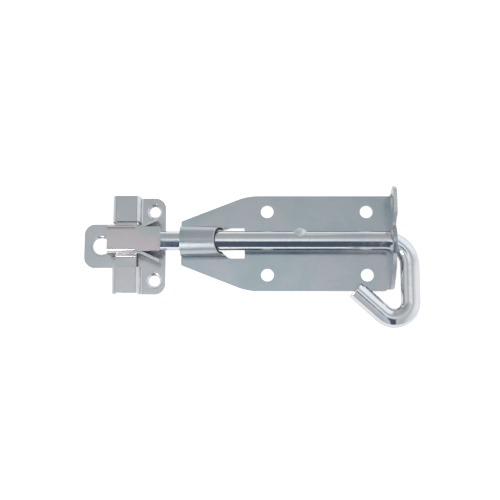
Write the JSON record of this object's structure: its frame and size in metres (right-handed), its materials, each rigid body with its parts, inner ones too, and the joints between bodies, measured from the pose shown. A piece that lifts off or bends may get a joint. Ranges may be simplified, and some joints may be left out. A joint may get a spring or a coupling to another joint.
{
  "type": "padbolt",
  "caption": "Zinc-plated padbolt: a round bolt with a hooked handle slides in a folded plate with a padlock ear, into an adjustable keeper.",
  "frame": {"origin": "middle of the plate's four screw holes, on the mounting plane", "axes": "+X along the bolt towards the handle, +Y towards the padlock ear, +Z away from the door"},
  "size_m": [0.1743, 0.0726, 0.0206],
  "materials": {
    "zinc_plate": "bright zinc plate, satin",
    "zinc_bar": "bright zinc plate, glossy"
  },
  "bodies": {
    "fixings": {"back_plate": "zinc_plate", "keeper_base": "zinc_plate"},
    "bolt": {"bolt_rod": "zinc_bar"},
    "slider": {"keeper_slider": "zinc_plate"}
  },
  "joints": [
    {"name": "bolt_slide", "type": "slide", "parent": "fixings", "child": "bolt", "axis": [1, 0, 0], "range_m": [0, 0.045]},
    {"name": "keeper_adjust", "type": "slide", "parent": "fixings", "child": "slider", "axis": [0, 1, 0], "range_m": [-0.0004, 0.0004]}
  ]
}
